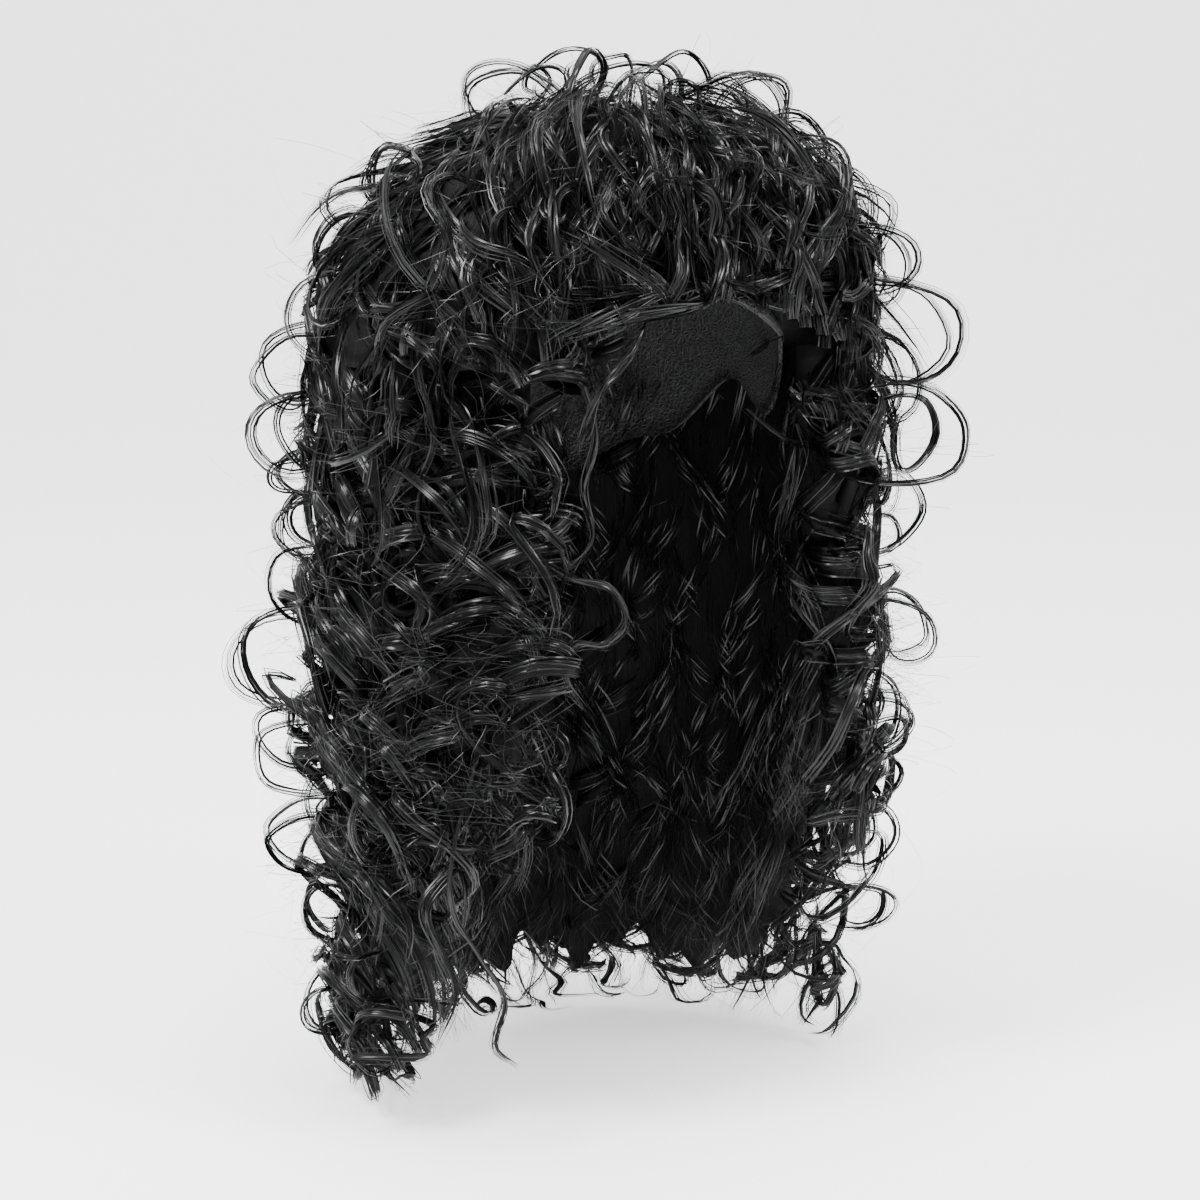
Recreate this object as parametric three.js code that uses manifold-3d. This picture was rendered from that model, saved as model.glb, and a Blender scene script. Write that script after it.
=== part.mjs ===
import * as THREE from 'three';
import { mergeVertices } from 'three/addons/utils/BufferGeometryUtils.js';
import Module from 'manifold-3d';

// A long curly wig: a hollow cap that fits the head, and the hair that is sewn to it in groups of curls.
// Millimetres. The origin is inside the cap at the top of the crown, +Z is up, the face looks along -Y
// and +X is the wearer's left. "Around" is the angle from the face, in degrees, positive to the
// wearer's left.

// Cap
const HEAD_BREADTH = 156;
const HEAD_LENGTH = 196;
const CROWN_HEIGHT = 105; // from the crown down to the level where the head is widest
const CAP_WALL = 1.6;
const CLEARANCE = 0.4; // between neighbouring pieces
const CAP_SEAT = 0.8; // share of the crown height down to which the hanging hair lies on the cap

// Body of hair
const HAIR_DROP = 446; // from the crown down to the longest tips
const HAIR_LIFT = 44; // from the crown up to the top of the hair
const BODY_HALF_WIDTH = 150;
const DOME_FOOT = CROWN_HEIGHT * 0.86; // level below the crown where the crown hair is widest
const DOME_SQUARENESS = 2.4; // 2 is an ellipse
const BROW_CUT = 0.1; // how far the crown hair's edge is drawn in over the face, as a share of its radius
const SHOULDER_DROP = 290; // level where the curls hang clear of the shoulders
const SHOULDER_RADIUS = 100; // inside of the hair there

// Curls
const CURLS_PER_GROUP = 2;
const CURL_DEPTH = 21; // how far a curl's axis lies inside the body's outline
const CURL_PITCH = 60;
const LOCK_RADIUS = 9;
const LOCK_SIDES = 4;
const STEPS_PER_TURN = 5;
const AROUND_STEPS = 24; // facets round the head
const DOME_STEPS = 5;
const BACKING_STEPS = 4;
const FIRST_AROUND = 47; // where the hair begins beside the face
const CURL_START = 0.19; // share of the drop
const BACKING_END = 0.9; // share of a group's shorter curl
const SWAY = 3; // degrees
const CURL_LINE_POINTS = 40;
const CURL_LINE_DIVISIONS = 400; // for measuring the line's length

// How locks narrow: shares of the radius left at the root and at the tip, and the share of the length over
// which a lock swells to its full size.
const CURL_TAPER = [0.6, 0.4];
const CROWN_TAPER = [0.5, 0.35];
const WISP_TAPER = [1, 0.5];
const SWELL = 0.15;
const CURL_CLOSE = 0.35; // how far a curl draws in at its tip, as a share of its reach

// Fringe, tendrils and loops
const FRINGE_HEIGHT = 15;
const FRINGE_THICKNESS = 10;
const TENDRIL_RADIUS = 2.4;
const WISP_RADIUS = 1.4;
const LOOP_RADIUS = 2.6; // of the lock that makes a loop
const LOOP_DRIFT = 4; // degrees around between a loop's middle and each of its ends
const LOOP_STAND = 0.35; // how far a loop's middle stands out of the hair, as a share of the loop's radius
const LOOP_HALF_TURN = 150; // degrees of arc on either side of a loop's outermost point

// The cap's rim: how far it lies below the crown, as a share of the crown height.
const CAP_RIM = [
  { around: 0, drop: 0.46 },
  { around: 50, drop: 0.7 },
  { around: 78, drop: 1.12 },
  { around: 100, drop: 0.98 },
  { around: 135, drop: 1.3 },
  { around: 180, drop: 1.55 },
];

// Plan of the hair: its outline as a share of the body's half width.
const PLAN = [
  { around: 0, out: 0.7 },
  { around: 25, out: 0.74 },
  { around: 48, out: 0.88 },
  { around: 73, out: 0.96 },
  { around: 94, out: 1 },
  { around: 116, out: 1.03 },
  { around: 137, out: 1.01 },
  { around: 157, out: 0.96 },
  { around: 180, out: 0.93 },
];

// How wide the body is at each level, as a share of its plan. Levels are shares of the drop.
const BODY = [
  { down: 0.14, wide: 0.95 },
  { down: 0.27, wide: 1 },
  { down: 0.5, wide: 1.05 },
  { down: 0.74, wide: 1 },
  { down: 1, wide: 0.96 },
];

// Lower edge of the crown hair, at the cap and at the outside, as shares of the crown height.
const CROWN_EDGE = [
  { around: 0, inside: 0.38, outside: 0.4 },
  { around: 25, inside: 0.42, outside: 0.46 },
  { around: 45, inside: 0.55, outside: 0.7 },
  { around: 65, inside: 0.59, outside: 0.8 },
  { around: 180, inside: 0.59, outside: 0.8 },
];

// Locks that are brushed over the crown: they run from one place on the dome to another, wave sideways and
// stand out of it. "Start" and "end" are shares of the way from the top of the dome to its lower edge.
const CROWN_LOCKS = [
  { from: 6, to: -38, start: 0.98, end: 0.36, wave: 6, stand: 5, thick: 1 },
  { from: 12, to: 42, start: 0.98, end: 0.4, wave: -6, stand: 6, thick: 1 },
  { from: -16, to: -84, start: 0.9, end: 0.5, wave: 7, stand: 5, thick: 1.1 },
  { from: 26, to: 82, start: 0.92, end: 0.56, wave: -5, stand: 6, thick: 1 },
  { from: 40, to: 62, start: 0.32, end: 1.04, wave: -8, stand: 4, thick: 1.1 },
  { from: -78, to: -88, start: 0.26, end: 1.06, wave: -8, stand: 5, thick: 1.2 },
  { from: -108, to: -114, start: 0.24, end: 1.05, wave: 8, stand: 5, thick: 1.2 },
  { from: 114, to: 120, start: 0.24, end: 1.06, wave: -8, stand: 5, thick: 1.2 },
  { from: -146, to: -146, start: 0.2, end: 1.06, wave: -7, stand: 5, thick: 1.2 },
  { from: 148, to: 150, start: 0.22, end: 1.05, wave: 7, stand: 5, thick: 1.2 },
  { from: -60, to: 40, start: 0.34, end: 0.3, wave: 10, stand: 7, thick: 1 },
];

// Loops that spring from the hair. "Down" is a share of the drop, "size" a share of the curl depth, "turn"
// is where the loop's open side faces, in degrees from straight inwards.
const CROWN_LOOPS = [
  { around: 60, down: -0.075, size: 1.0, turn: 35 },
  { around: 60, down: -0.01, size: 0.8, turn: 20 },
  { around: 62, down: 0.07, size: 1.2, turn: 10 },
  { around: 58, down: 0.15, size: 1.2, turn: 0 },
  { around: -120, down: -0.07, size: 1.0, turn: 30 },
  { around: -120, down: 0.03, size: 1.0, turn: 15 },
  { around: -118, down: 0.14, size: 0.9, turn: 0 },
  { around: 0, down: -0.085, size: 0.7, turn: 60 },
  { around: 170, down: -0.04, size: 1.0, turn: 30 },
];
const BODY_LOOPS = [
  { around: -121, down: 0.22, size: 0.8, turn: 0 },
  { around: -117, down: 0.31, size: 0.75, turn: 0 },
  { around: -122, down: 0.5, size: 1.1, turn: 0 },
  { around: -118, down: 0.62, size: 1.0, turn: 0 },
  { around: -121, down: 0.8, size: 0.7, turn: 0 },
  { around: 61, down: 0.27, size: 1.2, turn: 0 },
  { around: 77, down: 0.53, size: 0.7, turn: 0 },
  { around: 79, down: 0.68, size: 0.8, turn: 0 },
  { around: 150, down: 0.4, size: 0.9, turn: 0 },
  { around: -160, down: 0.6, size: 0.9, turn: 0 },
];

// The groups of curls from the right of the face, round the back, to the left of it. "Tips" is how far down
// each curl reaches, as a share of the drop, and "turn" is each curl's phase, in degrees.
const GROUPS = [
  { name: 'curls_right_front', tips: [0.64, 0.76], turns: [40, 200] },
  { name: 'curls_right_side', tips: [0.97, 0.99], turns: [110, 300] },
  { name: 'curls_right_back', tips: [0.985, 0.97], turns: [20, 150] },
  { name: 'curls_back', tips: [0.99, 0.975], turns: [250, 90] },
  { name: 'curls_left_back', tips: [0.97, 0.985], turns: [330, 190] },
  { name: 'curls_left_side', tips: [0.98, 1], turns: [70, 260] },
  { name: 'curls_left_front', tips: [0.76, 0.64], turns: [160, 10] },
];

// Tails that hang from a place inside a front group's backing. Their points are shares of the body's half
// width across and forwards, and of the drop downwards.
const RIGHT_TAIL = {
  root: { around: -60, down: 0.5 },
  rows: [
    { left: -0.64, fore: 0.36, down: 0.59 },
    { left: -0.62, fore: 0.33, down: 0.655 },
    { left: -0.7, fore: 0.33, down: 0.69 },
    { left: -0.86, fore: 0.34, down: 0.74 },
    { left: -0.8, fore: 0.34, down: 0.8 },
    { left: -0.78, fore: 0.36, down: 0.84 },
    { left: -0.86, fore: 0.37, down: 0.89 },
  ],
};
const RIGHT_WISP = {
  root: { around: -56, down: 0.5 },
  rows: [
    { left: -0.8, fore: 0.4, down: 0.66 },
    { left: -0.81, fore: 0.41, down: 0.74 },
    { left: -0.72, fore: 0.43, down: 0.79 },
    { left: -0.65, fore: 0.44, down: 0.84 },
    { left: -0.7, fore: 0.45, down: 0.89 },
    { left: -0.6, fore: 0.46, down: 0.92 },
  ],
};
const LEFT_WISP = {
  root: { around: 58, down: 0.5 },
  rows: [
    { left: 0.56, fore: 0.46, down: 0.62 },
    { left: 0.6, fore: 0.45, down: 0.67 },
    { left: 0.62, fore: 0.45, down: 0.76 },
  ],
};

// Tendrils beside the face. Their points are shares of the head's half breadth across, of its half length
// forwards, and of the crown height downwards.
const BROW_WISP = [
  { left: -0.38, fore: 0.89, down: 0.51 },
  { left: -0.54, fore: 0.93, down: 0.66 },
  { left: -0.71, fore: 0.9, down: 0.81 },
  { left: -0.79, fore: 0.86, down: 0.98 },
];
const TEMPLE_TENDRIL = [
  { left: -0.77, fore: 0.78, down: 0.85 },
  { left: -0.71, fore: 0.8, down: 1.06 },
  { left: -0.77, fore: 0.78, down: 1.27 },
  { left: -0.71, fore: 0.78, down: 1.49 },
  { left: -0.83, fore: 0.77, down: 1.61 },
];
const CHEEK_CURL = [
  { left: -0.79, fore: 0.84, down: 1.74 },
  { left: -0.6, fore: 0.87, down: 1.78 },
  { left: -0.58, fore: 0.86, down: 1.93 },
  { left: -0.73, fore: 0.81, down: 1.98 },
  { left: -0.9, fore: 0.86, down: 2.04 },
  { left: -0.85, fore: 0.89, down: 2.25 },
];

const BLACK_HAIR = { color: 0x141416, roughness: 0.42, metalness: 0 };
const CAP_NET = { color: 0x1b1b1d, roughness: 0.9, metalness: 0 };

const wasm = await Module();
wasm.setup();

const { lerp, smoothstep, clamp } = THREE.MathUtils;
const radians = THREE.MathUtils.degToRad;

// A column of a table at a place between its rows, eased from row to row.
function lookUp(table, key, column, at) {
  const next = table.findIndex((row) => row[key] >= at);
  if (next < 0) return table[table.length - 1][column];
  if (next === 0) return table[0][column];
  const [a, b] = [table[next - 1], table[next]];
  const t = (at - a[key]) / (b[key] - a[key]);
  return lerp(a[column], b[column], t * t * (3 - 2 * t));
}

const byAround = (table, column, around) => lookUp(table, 'around', column, Math.abs(wrapped(around)));

function wrapped(around) {
  return THREE.MathUtils.euclideanModulo(around + 180, 360) - 180;
}

function polar(around, radius, z) {
  const a = radians(around);
  return new THREE.Vector3(radius * Math.sin(a), -radius * Math.cos(a), z);
}

// Horizontal radius of the head, grown by an offset, at a level.
function headRadius(around, z, offset) {
  const a = radians(around);
  const across = Math.sin(a) / (HEAD_BREADTH / 2 + offset);
  const along = Math.cos(a) / (HEAD_LENGTH / 2 + offset);
  const rise = (z + CROWN_HEIGHT) / (CROWN_HEIGHT + offset);
  return Math.sqrt(Math.max(0, 1 - rise * rise)) / Math.hypot(across, along);
}

const capRim = (around) => -CROWN_HEIGHT * byAround(CAP_RIM, 'drop', around);
const bodyRadius = (around) => BODY_HALF_WIDTH * byAround(PLAN, 'out', around);
const bodyScale = (z) => lookUp(BODY, 'down', 'wide', -z / HAIR_DROP);

// Horizontal radius of the crown hair at a level.
function domeRadius(around, z) {
  const rise = clamp((z + DOME_FOOT) / (DOME_FOOT + HAIR_LIFT), 0, 1);
  return bodyRadius(around) * (1 - rise ** DOME_SQUARENESS) ** (1 / DOME_SQUARENESS);
}

// Level of the crown hair's underside, which slopes from the cap to the outside.
function crownUnderside(around, radius) {
  const inside = -CROWN_HEIGHT * byAround(CROWN_EDGE, 'inside', around);
  const outside = -CROWN_HEIGHT * byAround(CROWN_EDGE, 'outside', around);
  const near = headRadius(around, inside, CAP_WALL);
  return THREE.MathUtils.mapLinear(radius, near, domeRadius(around, outside), inside, outside);
}

// Moves every corner of a closed geometry by a rule and makes it a solid.
function warp(geometry, rule) {
  const bare = new THREE.BufferGeometry();
  bare.setAttribute('position', geometry.getAttribute('position'));
  bare.setIndex(geometry.index);
  const merged = mergeVertices(bare, 1e-4);
  const position = merged.getAttribute('position');
  const corner = new THREE.Vector3();
  for (let i = 0; i < position.count; i++) {
    const moved = rule(corner.fromBufferAttribute(position, i));
    position.setXYZ(i, moved.x, moved.y, moved.z);
  }
  const triangles = [];
  for (let i = 0; i < merged.index.count; i += 3) {
    const [a, b, c] = [0, 1, 2].map((k) => merged.index.getX(i + k));
    if (a !== b && b !== c && c !== a) triangles.push(a, b, c);
  }
  const build = (indices) => new wasm.Manifold(new wasm.Mesh({
    numProp: 3,
    vertProperties: position.array,
    triVerts: new Uint32Array(indices),
  }));
  const solid = build(triangles);
  return solid.volume() > 0 ? solid : build(triangles.reverse());
}

// Direction around of a corner of an upright round geometry.
const bearing = (corner) => THREE.MathUtils.radToDeg(Math.atan2(corner.x, corner.z));

// A coin is a flat disc whose top and bottom become the two sides of a domed shell.
function coin(around, rings) {
  const profile = [];
  for (let i = 0; i <= rings; i++) profile.push(new THREE.Vector2(i / rings, 0));
  for (let i = rings; i >= 0; i--) profile.push(new THREE.Vector2(i / rings, 1));
  return new THREE.LatheGeometry(profile, around);
}

// Calls rule(around, share of the way out, side) for each corner of a coin. Side is 0 outside and 1 inside.
function shell(segments, rings, rule) {
  return warp(coin(segments, rings), (p) => {
    return rule(bearing(p), Math.round(Math.hypot(p.x, p.z) * rings) / rings, p.y);
  });
}

// A tapered tube along a curve, with an oval section: reach(t) gives its half width and half thickness, and
// outwards(point) the direction that its thickness is measured in.
function lock(curve, steps, reach, outwards, sides = LOCK_SIDES) {
  const tube = new THREE.CylinderGeometry(1, 1, 1, sides, steps);
  return warp(tube, (p) => {
    const t = clamp(p.y + 0.5, 0, 1);
    const point = curve.getPoint(t);
    const tangent = curve.getTangent(t);
    const across = new THREE.Vector3().crossVectors(tangent, outwards(point)).normalize();
    const out = new THREE.Vector3().crossVectors(across, tangent);
    const { wide, thick } = reach(t);
    return point.addScaledVector(across, p.x * wide).addScaledVector(out, p.z * thick);
  });
}

const fromAxis = (point) => new THREE.Vector3(point.x, point.y, 0).normalize();
const fromHeadCentre = (point) => point.clone().setZ(point.z + CROWN_HEIGHT).normalize();

// Round section that narrows to a share of itself at each end.
function tapered(radius, start, end) {
  return (t) => {
    const size = radius * (start + (1 - start) * Math.min(1, t / SWELL)) * (1 - (1 - end) * t ** 3);
    return { wide: size, thick: size };
  };
}

function join(solids) {
  return solids.reduce((sum, solid) => sum.add(solid));
}

const largest = (solid) => solid.decompose().reduce((a, b) => (a.volume() > b.volume() ? a : b));

function meshOf(name, solid, finish) {
  const made = solid.getMesh();
  const geometry = new THREE.BufferGeometry();
  geometry.setAttribute('position', new THREE.BufferAttribute(new Float32Array(made.vertProperties), 3));
  geometry.setIndex(new THREE.BufferAttribute(new Uint32Array(made.triVerts), 1));
  const flat = geometry.toNonIndexed();
  flat.computeVertexNormals();
  const mesh = new THREE.Mesh(flat, new THREE.MeshStandardMaterial({ ...finish, side: THREE.DoubleSide }));
  mesh.name = name;
  return mesh;
}

// The head that the cap is made for, grown by an offset. Whatever lies on it is cut by this one form.
function headForm(offset) {
  return warp(new THREE.SphereGeometry(1, AROUND_STEPS, AROUND_STEPS / 2), (p) => {
    const z = -CROWN_HEIGHT + (CROWN_HEIGHT + offset) * p.y;
    return polar(bearing(p), headRadius(bearing(p), z, offset), z);
  });
}

// The net cap that grips the head, open below, with its rim cut round the face, ears and nape.
function cap() {
  const belowRim = shell(AROUND_STEPS, 2, (around, share, side) => {
    const radius = HEAD_LENGTH * (share < 1 ? share / 4 : 1);
    return polar(around, radius, side ? -CROWN_HEIGHT * 3 : share ? capRim(around) : -CROWN_HEIGHT);
  });
  return headForm(CAP_WALL).subtract(headForm(0)).subtract(belowRim);
}

// Curve of the outside of the crown hair, from the top of the dome down to its lower edge.
function domePoint(around, share, stand = 0) {
  const edge = -CROWN_HEIGHT * byAround(CROWN_EDGE, 'outside', around);
  const span = DOME_FOOT + HAIR_LIFT;
  const foot = Math.acos(Math.min(1, ((edge + DOME_FOOT) / span) ** (DOME_SQUARENESS / 2)));
  const lean = share * foot;
  const z = -DOME_FOOT + span * Math.max(0, Math.cos(lean)) ** (2 / DOME_SQUARENESS);
  const brow = 1 - BROW_CUT * Math.max(0, Math.cos(radians(around))) ** 4 * smoothstep(share, 0.7, 1);
  return polar(around, domeRadius(around, z) * brow + stand * Math.sin(lean), z + stand * Math.cos(lean));
}

// The space above the crown hair's underside, lowered by an offset. The hair above and below is cut by it.
function crownSpace(offset) {
  return shell(AROUND_STEPS, 2, (around, share, side) => {
    const radius = BODY_HALF_WIDTH * (share < 1 ? share / 2 : 2);
    if (!side) return polar(around, radius, HAIR_LIFT * 3);
    const z = share ? crownUnderside(around, radius) : -CROWN_HEIGHT * CROWN_EDGE[0].inside;
    return polar(around, radius, z - offset);
  });
}

function crownDome() {
  return shell(AROUND_STEPS, DOME_STEPS, (around, share, side) => {
    const outside = domePoint(around, share);
    return side ? outside.setZ(Math.min(outside.z, -DOME_FOOT)) : outside;
  });
}

function crownLock({ from, to, start, end, wave, stand, thick }) {
  const points = [];
  const count = 6;
  for (let i = 0; i <= count; i++) {
    const t = i / count;
    const around = lerp(from, to, t) + wave * Math.sin(t * Math.PI * 2);
    points.push(domePoint(around, lerp(start, end, t), stand * Math.sin(t * Math.PI)));
  }
  const size = tapered(LOCK_RADIUS * thick, ...CROWN_TAPER);
  return lock(new THREE.CatmullRomCurve3(points), count, size, fromHeadCentre);
}

// A loop of lock that leaves the hair and comes back, in an upright plane through the head's axis.
function loop({ around, down, size, turn }, radiusAt) {
  const z = -down * HAIR_DROP;
  const radius = size * CURL_DEPTH;
  const centre = radiusAt(around, z) + radius * LOOP_STAND;
  const points = [];
  for (let angle = -LOOP_HALF_TURN; angle <= LOOP_HALF_TURN; angle += LOOP_HALF_TURN / 4) {
    const a = radians(angle + turn);
    const drift = LOOP_DRIFT * angle / LOOP_HALF_TURN;
    points.push(polar(around + drift, centre + radius * Math.cos(a), z + radius * Math.sin(a)));
  }
  const section = { wide: LOOP_RADIUS, thick: LOOP_RADIUS };
  return lock(new THREE.CatmullRomCurve3(points), 8, () => section, () => polar(around + 90, 1, 0), 4);
}

function crownHair() {
  const locks = CROWN_LOCKS.map(crownLock);
  const loops = CROWN_LOOPS.map((row) => loop(row, domeRadius));
  const body = join([crownDome(), ...locks]).intersect(crownSpace(0));
  return largest(join([body, ...loops]).subtract(headForm(CAP_WALL + CLEARANCE)));
}

// The line that the curls' axes stand on, from the right of the face round the back to the left of it.
const CURL_LINE = new THREE.CatmullRomCurve3(
  Array.from({ length: CURL_LINE_POINTS + 1 }, (_, i) => {
    const around = lerp(-FIRST_AROUND, -360 + FIRST_AROUND, i / CURL_LINE_POINTS);
    return polar(around, bodyRadius(around) - CURL_DEPTH, 0);
  }),
);
CURL_LINE.arcLengthDivisions = CURL_LINE_DIVISIONS;
const CURL_COUNT = GROUPS.length * CURLS_PER_GROUP;
const CURL_REACH = (CURL_LINE.getLength() / CURL_COUNT - CLEARANCE) / 2;

function aroundAt(share) {
  const p = CURL_LINE.getPointAt(share);
  return THREE.MathUtils.euclideanModulo(THREE.MathUtils.radToDeg(Math.atan2(p.x, -p.y)), 360) - 360;
}

// The curls sway a little, all together, on their way down.
const sway = (z) => SWAY * Math.sin((z / HAIR_DROP) * Math.PI * 4);

// Inside and outside of the hanging hair's backing. It lies on the cap down to the rim, and then runs out to
// the shoulders.
function backingRadii(around, z) {
  const rim = Math.min(capRim(around), -CROWN_HEIGHT * CAP_SEAT);
  const seat = headRadius(around, Math.max(z, rim), CAP_WALL + CLEARANCE);
  const fall = smoothstep(-z, -rim, SHOULDER_DROP);
  const outer = (bodyRadius(around) - CURL_DEPTH) * bodyScale(z) - LOCK_RADIUS;
  const inner = Math.min(lerp(seat, Math.max(seat, SHOULDER_RADIUS), fall), outer - LOCK_RADIUS);
  return { inner, outer };
}

// A place in the middle of the backing.
function inBacking(around, z) {
  const { inner, outer } = backingRadii(around, z);
  return polar(around, (inner + outer) / 2, z);
}

// A solid between two directions around the head. Calls rule(around, share out, share down) for the radius
// and level of each corner, and draws the sides in by half the clearance.
function sector(from, to, columns, rows, rule) {
  return warp(new THREE.BoxGeometry(1, 1, 1, columns, 1, rows), (p) => {
    const around = lerp(from, to, p.x + 0.5);
    const { radius, z } = rule(around, p.y + 0.5, p.z + 0.5);
    const edge = Math.abs(p.x) === 0.5 ? Math.sign(p.x) : 0;
    const inwards = edge * Math.sign(from - to) * (CLEARANCE / 2);
    return polar(around, radius, z).add(polar(around + 90, inwards, 0));
  });
}

function backing(from, to, bottom) {
  return sector(from, to, 3, BACKING_STEPS, (around, out, down) => {
    const level = (radius) => {
      const top = crownUnderside(around, radius) - CLEARANCE;
      return lerp(top, -bottom * HAIR_DROP, down);
    };
    const radii = backingRadii(around, level(headRadius(around, -CROWN_HEIGHT, CAP_WALL)));
    const radius = out ? radii.outer : radii.inner;
    return { radius, z: level(radius) };
  });
}

function curl(share, tip, turn) {
  const top = -CURL_START * HAIR_DROP;
  const bottom = -tip * HAIR_DROP;
  const turns = (top - bottom) / CURL_PITCH;
  const around = aroundAt(share);
  const reach = CURL_REACH - LOCK_RADIUS;
  const path = new THREE.Curve();
  path.getPoint = (t) => {
    const z = lerp(top, bottom, t);
    const size = smoothstep(t, -0.05, 0.16) * (1 - CURL_CLOSE * t ** 6);
    const open = reach * size * Math.min(1, bodyScale(z));
    const a = radians(turn) + t * turns * 2 * Math.PI;
    const axis = polar(around + sway(z), (bodyRadius(around) - CURL_DEPTH) * bodyScale(z), z);
    const out = polar(around + sway(z), 1, 0);
    const aside = polar(around + sway(z) + 90, 1, 0);
    return axis.addScaledVector(out, open * Math.cos(a)).addScaledVector(aside, open * Math.sin(a));
  };
  const steps = Math.round(turns * STEPS_PER_TURN);
  return lock(path, steps, tapered(LOCK_RADIUS, ...CURL_TAPER), fromAxis);
}

const beside = ({ left, fore, down }) => (
  new THREE.Vector3(left * BODY_HALF_WIDTH, -fore * BODY_HALF_WIDTH, -down * HAIR_DROP)
);
const onFace = ({ left, fore, down }) => (
  new THREE.Vector3(left * HEAD_BREADTH / 2, -fore * HEAD_LENGTH / 2, -down * CROWN_HEIGHT)
);

function thinLock(points, radius) {
  const curve = new THREE.CatmullRomCurve3(points);
  return lock(curve, points.length * 2, tapered(radius, ...WISP_TAPER), () => new THREE.Vector3(0, 1, 0.2));
}

const tail = ({ root, rows }, radius) => (
  thinLock([inBacking(root.around, -root.down * HAIR_DROP), ...rows.map(beside)], radius)
);

const TAILS = {
  curls_right_front: [tail(RIGHT_TAIL, TENDRIL_RADIUS), tail(RIGHT_WISP, WISP_RADIUS)],
  curls_left_front: [tail(LEFT_WISP, WISP_RADIUS)],
};

function outerRadius(around, z) {
  return bodyRadius(around) * bodyScale(z) - LOCK_RADIUS / 2;
}

// One group of curls on its backing, kept to its own share of the way round the head.
function group({ name, tips, turns }, index) {
  const [from, to] = [index, index + 1].map((i) => aroundAt(i / GROUPS.length));
  const bottom = Math.min(...tips) * BACKING_END;
  const curls = tips.map((tip, i) => curl((index * CURLS_PER_GROUP + i + 0.5) / CURL_COUNT, tip, turns[i]));
  const loops = BODY_LOOPS.filter(({ around }) => {
    const a = around > -FIRST_AROUND ? around - 360 : around;
    return a < from && a > to;
  }).map((row) => loop(row, outerRadius));
  const place = sector(from, to, 1, 1, (around, out, down) => ({
    radius: out ? BODY_HALF_WIDTH * 2 : HEAD_BREADTH / 8,
    z: lerp(HAIR_LIFT, -HAIR_DROP * 1.1, down),
  }));
  const body = join([backing(from, to, bottom), ...curls, ...loops]).intersect(place);
  const clear = body.subtract(crownSpace(CLEARANCE)).subtract(headForm(CAP_WALL + CLEARANCE));
  return largest(join([clear, ...(TAILS[name] ?? [])]));
}

// Hair swept from the peak of the hairline to a temple, between the cap and the crown hair's front edge.
function fringe(side) {
  const points = [];
  const count = 6;
  const height = (t) => (FRINGE_HEIGHT / 2) * (0.45 + 0.55 * Math.sin(Math.PI * Math.min(1, 0.15 + t)));
  for (let i = 0; i <= count; i++) {
    const t = i / count;
    const around = lerp(1, FIRST_AROUND - 5, t);
    const edge = -CROWN_HEIGHT * byAround(CROWN_EDGE, 'outside', around);
    const z = edge - height(t) * (1 + 0.2 * t);
    const offset = CAP_WALL + FRINGE_THICKNESS * 0.3;
    points.push(polar(side * around, headRadius(around, z, offset), z));
  }
  const reach = (t) => {
    const thick = (FRINGE_THICKNESS / 2) * (0.6 + 0.4 * Math.sin(Math.PI * t));
    return { wide: height(t), thick };
  };
  const swept = lock(new THREE.CatmullRomCurve3(points), 9, reach, fromAxis, 6);
  return largest(swept.subtract(headForm(CAP_WALL + CLEARANCE)).subtract(crownSpace(CLEARANCE)));
}

// A tendril that leaves the side wall of the right front group, towards the face.
function tendril(rows) {
  const wall = -FIRST_AROUND;
  const seat = inBacking(wall, onFace(rows[0]).z).add(polar(wall + 90, CLEARANCE * 1.5, 0));
  const next = seat.clone().add(polar(wall + 90, TENDRIL_RADIUS, 0));
  return thinLock([seat, next, ...rows.map(onFace)], TENDRIL_RADIUS);
}

const wig = new THREE.Group();
wig.add(meshOf('cap', cap(), CAP_NET));
wig.add(meshOf('crown_hair', crownHair(), BLACK_HAIR));
GROUPS.forEach((row, i) => wig.add(meshOf(row.name, group(row, i), BLACK_HAIR)));
const browWisp = thinLock(BROW_WISP.map(onFace), WISP_RADIUS);
wig.add(meshOf('fringe_right', join([fringe(-1), browWisp]), BLACK_HAIR));
wig.add(meshOf('fringe_left', fringe(1), BLACK_HAIR));
wig.add(meshOf('temple_tendril', tendril(TEMPLE_TENDRIL), BLACK_HAIR));
wig.add(meshOf('cheek_curl', tendril(CHEEK_CURL), BLACK_HAIR));

export default wig;
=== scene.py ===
import math

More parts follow.
